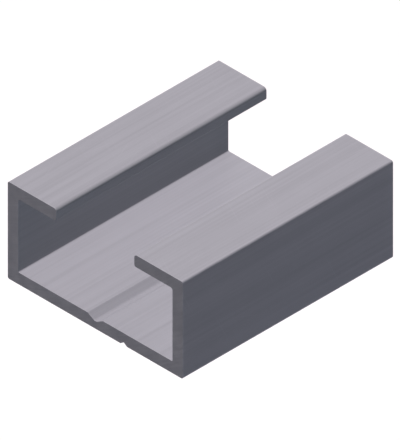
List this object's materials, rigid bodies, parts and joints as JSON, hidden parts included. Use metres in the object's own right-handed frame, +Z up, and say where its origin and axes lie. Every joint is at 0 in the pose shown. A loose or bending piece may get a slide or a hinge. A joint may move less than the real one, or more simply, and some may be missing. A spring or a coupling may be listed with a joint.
{
  "type": "lipped channel section",
  "caption": "Short cut piece of extruded aluminium channel with two inward lips, an open bolt slot along its top, a V groove down its floor and a marking groove underneath.",
  "frame": {"origin": "on the underside, midway across the section and midway along the piece", "axes": "+X across the section towards the marking groove's side, +Y along the extrusion, +Z up through the open slot"},
  "size_m": [0.05, 0.06, 0.024],
  "materials": {
    "mill_finish_aluminium": "mill finish as extruded, satin, with faint die lines along the length and sawn ends"
  },
  "bodies": {
    "root": {"channel_section": "mill_finish_aluminium"}
  },
  "joints": []
}
